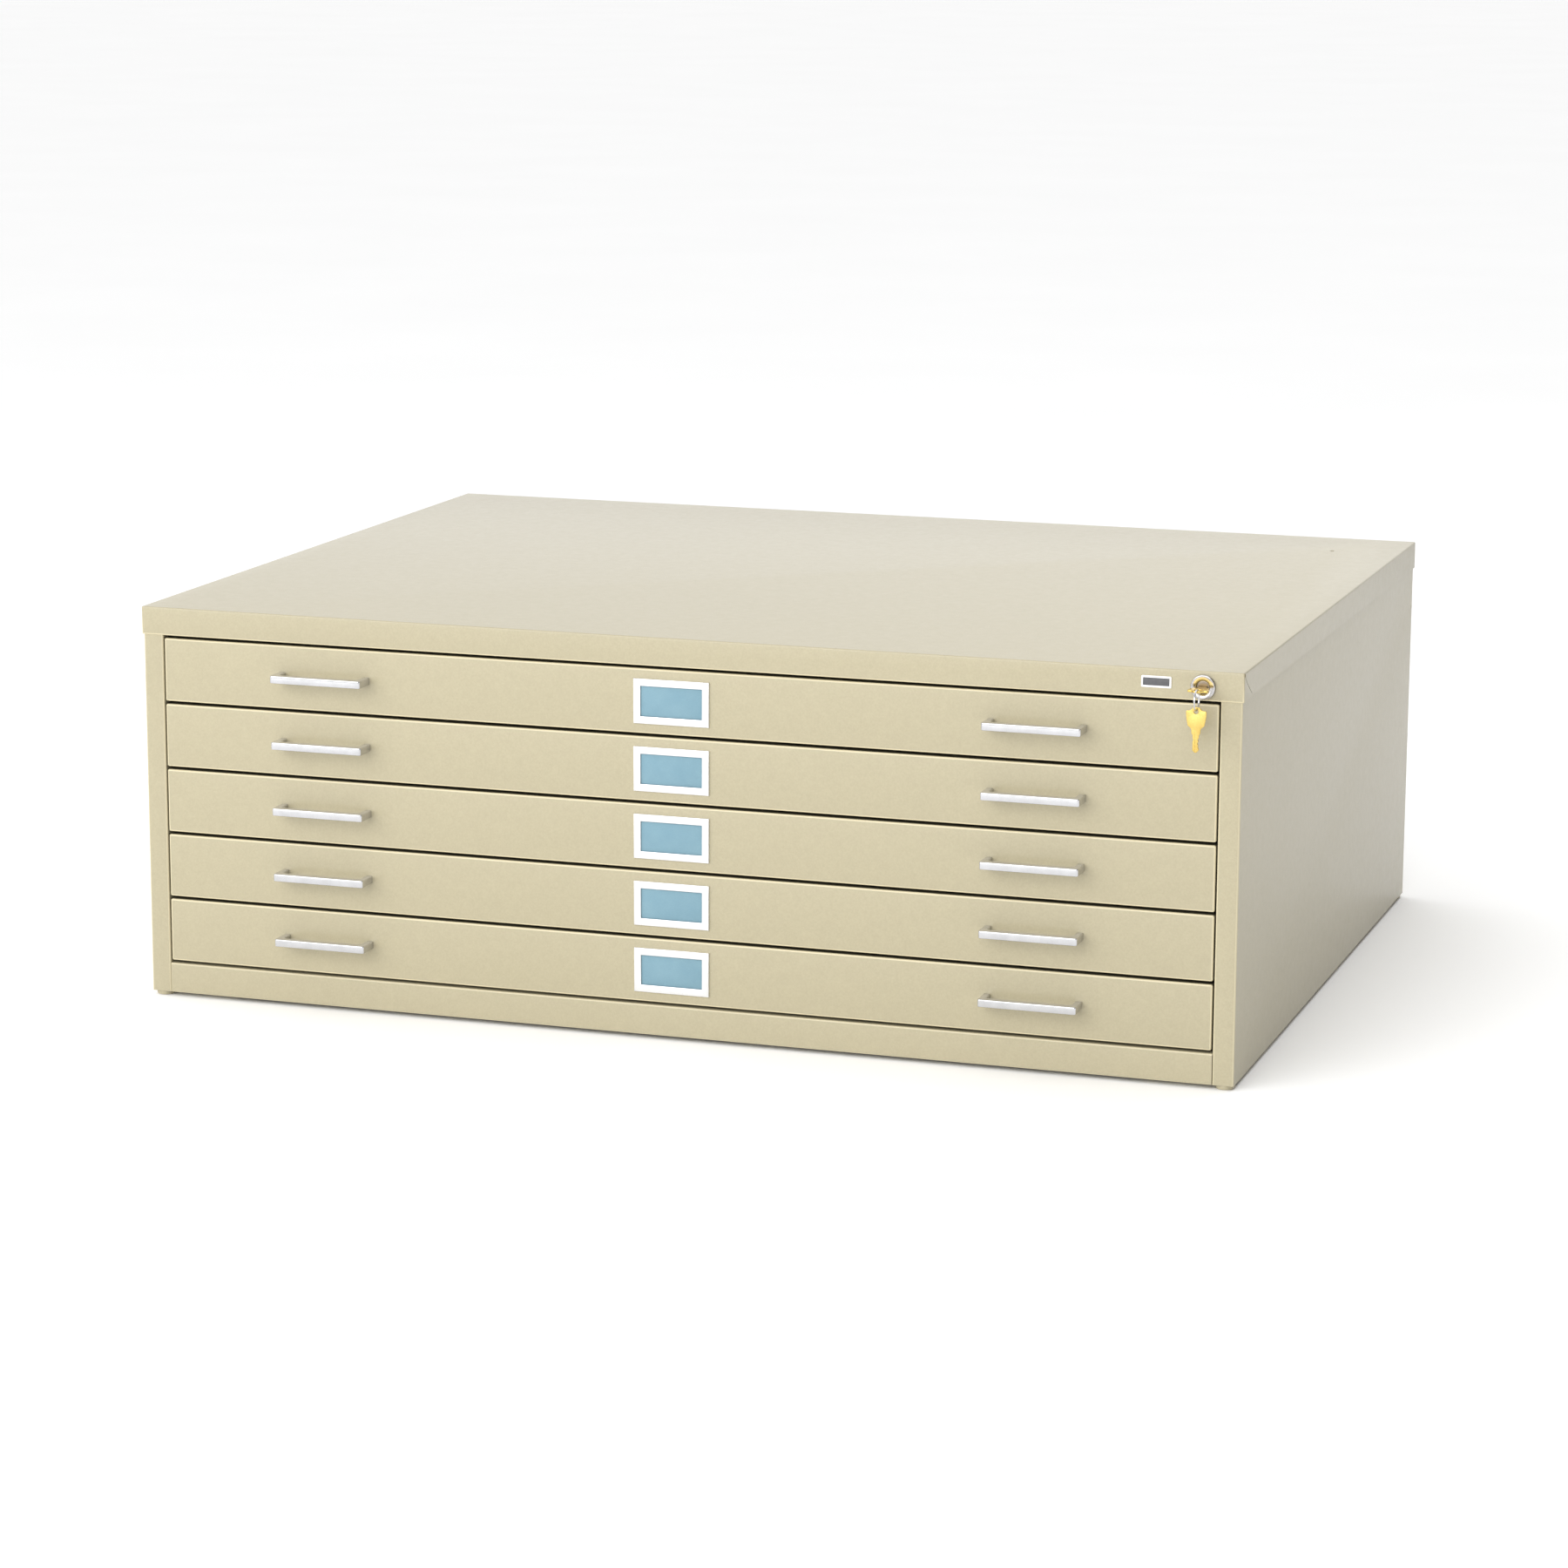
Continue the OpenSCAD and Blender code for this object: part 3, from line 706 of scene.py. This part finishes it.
def make_front(n):
    """A drawer front: a shallow pan, open behind, with a painted highlight on its rounded edges and painted
    shade on its returns.
    """
    lo, hi = mm_box(f"drawer_{n}_front")
    highlight_end, shade_start, rim = 1.8, 2.4, 3.2          # distances behind the front: where the painted highlight ends, where the painted shade starts, and the rim
    bm = box_bm(lo, hi)

    def runs_back(e):
        return abs(e.verts[0].co.y - e.verts[1].co.y) > 1

    folds = [e for e in bm.edges if runs_back(e) or all(v.co.y < lo.y + 0.01 for v in e.verts)]
    bmesh.ops.bevel(bm, geom=folds, offset=PAN_BEND, segments=5, profile=0.5, affect="EDGES")
    returns = [e for e in bm.edges if runs_back(e)]
    for v in bmesh.ops.subdivide_edges(bm, edges=returns, cuts=1)["geom_inner"]:
        if isinstance(v, bmesh.types.BMVert):
            v.co.y = lo.y + rim
    # painted highlight on the rounded edges at the front, painted shade on the returns behind them
    mark_folds(bm, lambda v: v.co.y < lo.y + highlight_end, lambda v: v.co.y > lo.y + shade_start)
    bmesh.ops.delete(bm, geom=[f for f in bm.faces if f.normal.y > 0.99], context="FACES")
    o = thicken(solid(f"drawer_{n}_front_pan", bm, 30))
    smooth(o.data, 35)
    put(o, f"drawer_{n}", PAINT, "cabinet_paint", f"drawer_{n}_front")


PULL_WIDTH, PULL_HEIGHT, PULL_LEG, PULL_BAR = 101.5, 8, 7, 8


def pull_outline(out):
    """A pull seen from above, its feet on y = 0, reaching to y = out; counter-clockwise."""
    soft, fillet = 2.6, 5.0
    x, inner_x = PULL_WIDTH / 2, PULL_WIDTH / 2 - PULL_LEG
    inner_y = out - PULL_BAR
    outline = [(inner_x, 0), (x, 0)]
    outline += arc(x - soft, out - soft, soft, 0, 90, 6) + arc(-x + soft, out - soft, soft, 90, 180, 6)
    outline += [(-x, 0), (-inner_x, 0)]
    outline += arc(-inner_x + fillet, inner_y - fillet, fillet, 180, 90, 8)
    outline += arc(inner_x - fillet, inner_y - fillet, fillet, 90, 0, 8)
    return outline


def make_pulls(n):
    """The two bar pulls of a drawer, each with its two screw heads behind the front."""
    lo, hi = mm_box(f"drawer_{n}_pulls")
    z, out = (lo.z + hi.z) / 2, FRONT - lo.y
    for s, side in ((-1, "left"), (1, "right")):
        x = s * (hi.x - PULL_WIDTH / 2)
        place = Matrix.Translation((x, FRONT, z - PULL_HEIGHT / 2)) @ Matrix.Scale(-1, 4, (0, 1, 0))
        parts = [flat_piece("pull", [pull_outline(out)], 0, PULL_HEIGHT, 1.1, place, 4)]
        for leg in (-1, 1):
            at = (x + leg * (PULL_WIDTH - PULL_LEG) / 2, z)
            parts.append(cylinder("screw", at, 4.4, FRONT + 1.25, FRONT + 3.4, "Y", 32))
        o = join(f"drawer_{n}_{side}_pull", *parts)
        smooth(o.data, 40)
        put(o, f"drawer_{n}", CHROME, "bright_chrome", f"drawer_{n}_pulls")


def make_card_frame(n):
    """The card holder: a raised border with rounded edges, hollow behind."""
    lo, hi = mm_box(f"drawer_{n}_label_holder")
    w, h, d = hi.x - lo.x, hi.z - lo.z, FRONT - lo.y
    centre = middle(lo, hi)
    r, t = 0.7, 0.95
    # (in from the outline, out from the drawer): up the outer wall, over the face, round the inner edge, back
    section = [(0, 0.02), (0, d - r)]
    section += [(r - r * math.cos(a), d - r + r * math.sin(a)) for a in (0.4, 0.8, 1.2, math.pi / 2)]
    section += [(6.6, d), (7.1, d - 0.12), (7.45, d - 0.4), (7.6, d - 0.75), (7.45, d - t)]
    section += [(6.9, d - t), (0.9, d - t), (0.8, 0.02)]
    bm = bmesh.new()
    corners = []
    for sx, sz in ((1, 1), (-1, 1), (-1, -1), (1, -1)):
        points = [(centre.x + sx * (w / 2 - u), FRONT - v, centre.z + sz * (h / 2 - u)) for u, v in section]
        corners.append([bm.verts.new(p) for p in points])
    for i in range(4):
        bridge(bm, corners[i], corners[(i + 1) % 4])
    o = solid(f"drawer_{n}_card_frame", bm, 30)
    put(o, f"drawer_{n}", SATIN, "bright_chrome", f"drawer_{n}_label_holder")


for n in DRAWERS:
    make_front(n)
    make_pulls(n)
    make_card_frame(n)


# ---------------------------------------------------------------- keys

EYE_DROP = 4.5             # from the top of a key to its eye
KEY_EDGE = 0.28            # the rounding of its edges

# Right halves of a key's outline, from the top down, as (out from the middle, up from the eye)
BOW = [(2.0, 4.5)] + arc(2.4, 3.2, 1.3, 80, 25, 4)
BOW += [(4.3, 2.8), (5.0, 2.1)] + arc(6.6, 2.4, 1.3, 215, 265, 3)
BOW += [(8.2, 1.0)] + arc(8.9, -0.2, 1.15, 80, 5, 4)
BOW += [(10.05, -1.9), (9.85, -5.0), (9.3, -8.6), (8.6, -11.6)] + arc(6.6, -12.6, 1.9, 15, -50, 4)
BOW += [(5.6, -16.0), (4.8, -17.1), (4.5, -18.4), (4.3, -21.0)]
BOW += [(4.0, -21.9), (3.2, -22.8), (3.1, -24.6)]
BITTED = [(3.1, -25.6), (2.2, -26.8), (2.2, -27.8), (2.9, -29.0), (1.9, -30.6), (1.9, -31.4), (2.7, -32.6)]
BITTED += [(2.3, -33.6), (2.3, -34.6), (3.0, -35.8), (3.0, -38.0), (1.0, -40.1)]
PLAIN = [(3.1, -25.6), (2.6, -27.0), (2.6, -28.4), (3.1, -29.6), (3.1, -38.0), (1.0, -40.1)]


def make_hanging_key():
    """The spare key, hanging on the ring, with a groove down each face of its blade."""
    lo, hi = mm_box("hanging_key")
    at = middle(lo, hi)
    x, y, eye_z = at.x, at.y, hi.z - EYE_DROP
    stand = Matrix.Translation((x, y, eye_z)) @ Matrix.Rotation(math.radians(90), 4, "X")
    outline = both_sides(BOW + PLAIN, BOW + BITTED)
    blank = flat_piece("blank", [outline, hole_loop(0, 0, 2.25, 24)], -1, 1, KEY_EDGE, stand)
    half_groove = 0.85
    grooves = []
    for y0, y1 in ((y - 2, y - 0.5), (y + 0.5, y + 2)):
        bm = box_bm((x - half_groove, y0, eye_z - 43), (x + half_groove, y1, eye_z - 19.5))
        grooves.append(solid("groove", bm))
    o = cut(blank, *grooves)
    put(o, "hanging_key", BRASS, "key_brass", "hanging_key").name = "hanging_key_brass"


def make_ring():
    """The split ring: two close turns of wire, with a step from one to the other."""
    lo, hi = mm_box("key_ring")
    centre = middle(lo, hi)
    wire, pitch, turns, steps = 0.46, 0.82, 2, 64
    step_start, step_length = 0.93, 0.14                 # in turns
    r = (hi.z - lo.z) / 2 - 0.9
    curve = bpy.data.curves.new("ring", "CURVE")
    curve.dimensions, curve.bevel_depth = "3D", wire * MM
    curve.bevel_resolution, curve.use_fill_caps = 4, True
    spline = curve.splines.new("POLY")
    spline.points.add(turns * steps)
    for i, point in enumerate(spline.points):
        t = i / steps
        a = math.tau * t + math.radians(200)
        across = -pitch / 2 + pitch * min(1, max(0, (t - step_start) / step_length))
        p = centre + Vector((across, r * math.cos(a), r * math.sin(a)))
        point.co = (*(p * MM), 1)
    wound = link(bpy.data.objects.new("wound", curve))
    mesh = bpy.data.meshes.new_from_object(wound.evaluated_get(bpy.context.evaluated_depsgraph_get()))
    bpy.data.objects.remove(wound)
    for face in mesh.polygons:
        face.use_smooth = True
    put(link(bpy.data.objects.new("split_ring", mesh)), "key_ring", CHROME, "bright_chrome", "key_ring")


def make_inserted_key():
    """The key in the lock, lying flat, its eye outwards."""
    lo = mm_box("inserted_key")[0]
    eye_y = lo.y + EYE_DROP
    flat = Matrix.Translation((LOCK_X, eye_y, LOCK_Z)) @ Matrix.Scale(-1, 4, (0, 1, 0))
    half = BOW[:-1]
    bow = flat_piece("bow", [both_sides(half, half), hole_loop(0, -1.7, 4.1, 32)], -1, 1, KEY_EDGE, flat)
    half_width, half_thick = 3.1, 0.95
    blade = soft_box("blade", (LOCK_X - half_width, eye_y + 21.8, LOCK_Z - half_thick),
                     (LOCK_X + half_width, FACE + 14, LOCK_Z + half_thick), 0.2)
    put(join("key_in_lock", bow, blade), "lock", BRASS, "key_brass", "inserted_key")


make_hanging_key()
make_ring()
make_inserted_key()


# ---------------------------------------------------------------- floor, light, camera: metres from here on

def make_floor():
    material, tree, shader, coords = new_material("pale_floor")
    vary(tree, noise(tree, coords, 1.5, 3), shader.inputs["Base Color"], 0.975, 0.99)
    shader.inputs["Roughness"].default_value = 0.9
    shader.inputs["Specular IOR Level"].default_value = 0.1
    bm = bmesh.new()
    bmesh.ops.create_grid(bm, x_segments=1, y_segments=1, size=60)
    floor = link(bpy.data.objects.new("floor", take_mesh("floor", bm, 1)))
    floor.data.materials.append(material)


def make_world():
    """Pale studio walls, darker to the right."""
    world = bpy.data.worlds.new("studio")
    world.use_nodes = True
    tree = world.node_tree
    axes = tree.nodes.new("ShaderNodeSeparateXYZ")
    tree.links.new(tree.nodes.new("ShaderNodeTexCoord").outputs["Generated"], axes.inputs["Vector"])
    background = tree.nodes["Background"]
    vary(tree, axes.outputs["X"], background.inputs["Color"], 1.0, 0.16, (0.05, 0.6))
    background.inputs["Strength"].default_value = 1.29
    bpy.context.scene.world = world


def area_light(name, place, target, size, watts):
    light = bpy.data.lights.new(name, "AREA")
    light.shape, light.size, light.size_y, light.energy = "RECTANGLE", *size, watts
    o = link(bpy.data.objects.new(name, light))
    o.location = place
    o.rotation_euler = (Vector(target) - Vector(place)).to_track_quat("-Z", "Y").to_euler()


def make_camera():
    """The photograph's angle, as the best fit without lens shift to the cabinet's visible corners."""
    azimuth, elevation, roll = (math.radians(x) for x in (18.2802, 11.7321, 0.2269))
    place = Vector((1.5039, -4.6374 + MID_Y * MM, 1.1938))
    flat = math.cos(elevation)
    back = Vector((math.sin(azimuth) * flat, -math.cos(azimuth) * flat, math.sin(elevation)))
    right = (-back).cross(Vector((0, 0, 1))).normalized()
    up = right.cross(-back)
    camera_x = right * math.cos(roll) + up * math.sin(roll)
    camera_y = -right * math.sin(roll) + up * math.cos(roll)
    data = bpy.data.cameras.new("camera")
    data.sensor_width, data.lens = 36, 102.957           # both in mm
    data.clip_end = 200
    camera = link(bpy.data.objects.new("camera", data))
    camera.matrix_world = Matrix(((camera_x.x, camera_y.x, back.x, place.x),
                                  (camera_x.y, camera_y.y, back.y, place.y),
                                  (camera_x.z, camera_y.z, back.z, place.z),
                                  (0, 0, 0, 1)))
    bpy.context.scene.camera = camera


make_floor()
make_world()
area_light("key_light", (-1.2, -5.4, 2.5), (0.2, 0, 0.2), (7.0, 3.6), 246)
area_light("fill_light", (1.35, 0.5, 2.6), (1.35, 0.5, 0.0), (1.4, 2.6), 15)
make_camera()
bpy.context.scene.view_settings.view_transform = "Standard"
bpy.context.scene.view_settings.look = "None"
